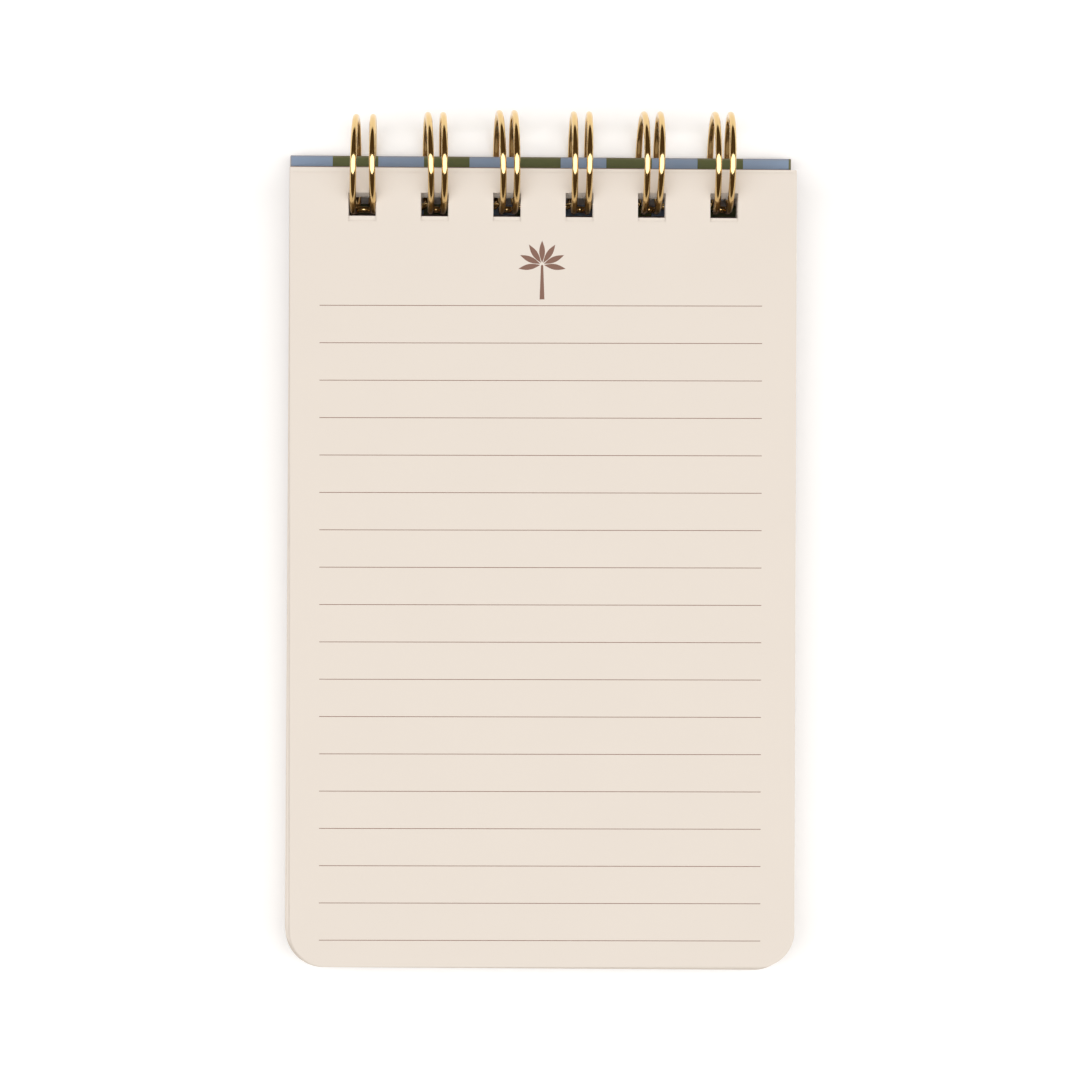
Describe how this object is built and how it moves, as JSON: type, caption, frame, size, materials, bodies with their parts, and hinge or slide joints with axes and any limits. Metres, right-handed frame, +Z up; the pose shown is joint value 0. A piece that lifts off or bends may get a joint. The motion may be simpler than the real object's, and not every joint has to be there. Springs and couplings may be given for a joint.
{
  "type": "pocket notebook",
  "caption": "Top-bound pocket notebook of ruled sheets on a gold twin-loop wire, with its striped front cover folded behind.",
  "frame": {"origin": "on the table, under the middle of the notebook's bounding box", "axes": "+X along the wire, to the right when reading; +Y from the pages towards the wire; +Z up, out of the written page"},
  "size_m": [0.0904, 0.1518, 0.0181],
  "materials": {
    "paper": "matte",
    "striped_board": "matte",
    "plain_board": "matte",
    "gold_wire": "gloss"
  },
  "bodies": {
    "binding": {"twin_loop_wire": "gold_wire", "back_cover": "plain_board"},
    "front_cover": {"front_cover": "striped_board"},
    "rear_sheets": {"sheet_35": "paper", "sheet_36": "paper", "sheet_37": "paper", "sheet_38": "paper", "sheet_39": "paper", "sheet_40": "paper", "sheet_41": "paper", "sheet_42": "paper", "sheet_43": "paper", "sheet_44": "paper", "sheet_45": "paper", "sheet_46": "paper", "sheet_47": "paper", "sheet_48": "paper", "sheet_49": "paper", "sheet_50": "paper"},
    "middle_sheets": {"sheet_19": "paper", "sheet_20": "paper", "sheet_21": "paper", "sheet_22": "paper", "sheet_23": "paper", "sheet_24": "paper", "sheet_25": "paper", "sheet_26": "paper", "sheet_27": "paper", "sheet_28": "paper", "sheet_29": "paper", "sheet_30": "paper", "sheet_31": "paper", "sheet_32": "paper", "sheet_33": "paper", "sheet_34": "paper"},
    "front_sheets": {"sheet_04": "paper", "sheet_05": "paper", "sheet_06": "paper", "sheet_07": "paper", "sheet_08": "paper", "sheet_09": "paper", "sheet_10": "paper", "sheet_11": "paper", "sheet_12": "paper", "sheet_13": "paper", "sheet_14": "paper", "sheet_15": "paper", "sheet_16": "paper", "sheet_17": "paper", "sheet_18": "paper"},
    "sheet_03": {"sheet_03": "paper"},
    "sheet_02": {"sheet_02": "paper"},
    "sheet_01": {"sheet_01": "paper"}
  },
  "joints": [
    {"name": "front_cover_turn", "type": "hinge", "parent": "binding", "child": "front_cover", "pos_m": [0.00069, 0.06662, 0.0091], "axis": [1, 0, 0], "range_deg": [0, 180]},
    {"name": "rear_sheets_turn", "type": "hinge", "parent": "binding", "child": "rear_sheets", "pos_m": [0.00069, 0.06662, 0.0091], "axis": [-1, 0, 0], "range_deg": [0, 180]},
    {"name": "middle_sheets_turn", "type": "hinge", "parent": "rear_sheets", "child": "middle_sheets", "pos_m": [0.00069, 0.06662, 0.0091], "axis": [-1, 0, 0], "range_deg": [0, 180]},
    {"name": "front_sheets_turn", "type": "hinge", "parent": "middle_sheets", "child": "front_sheets", "pos_m": [0.00069, 0.06662, 0.0091], "axis": [-1, 0, 0], "range_deg": [0, 180]},
    {"name": "sheet_03_turn", "type": "hinge", "parent": "front_sheets", "child": "sheet_03", "pos_m": [0.00069, 0.06662, 0.0091], "axis": [-1, 0, 0], "range_deg": [0, 180]},
    {"name": "sheet_02_turn", "type": "hinge", "parent": "sheet_03", "child": "sheet_02", "pos_m": [0.00069, 0.06662, 0.0091], "axis": [-1, 0, 0], "range_deg": [0, 180]},
    {"name": "sheet_01_turn", "type": "hinge", "parent": "sheet_02", "child": "sheet_01", "pos_m": [0.00069, 0.06662, 0.0091], "axis": [-1, 0, 0], "range_deg": [0, 180]}
  ]
}
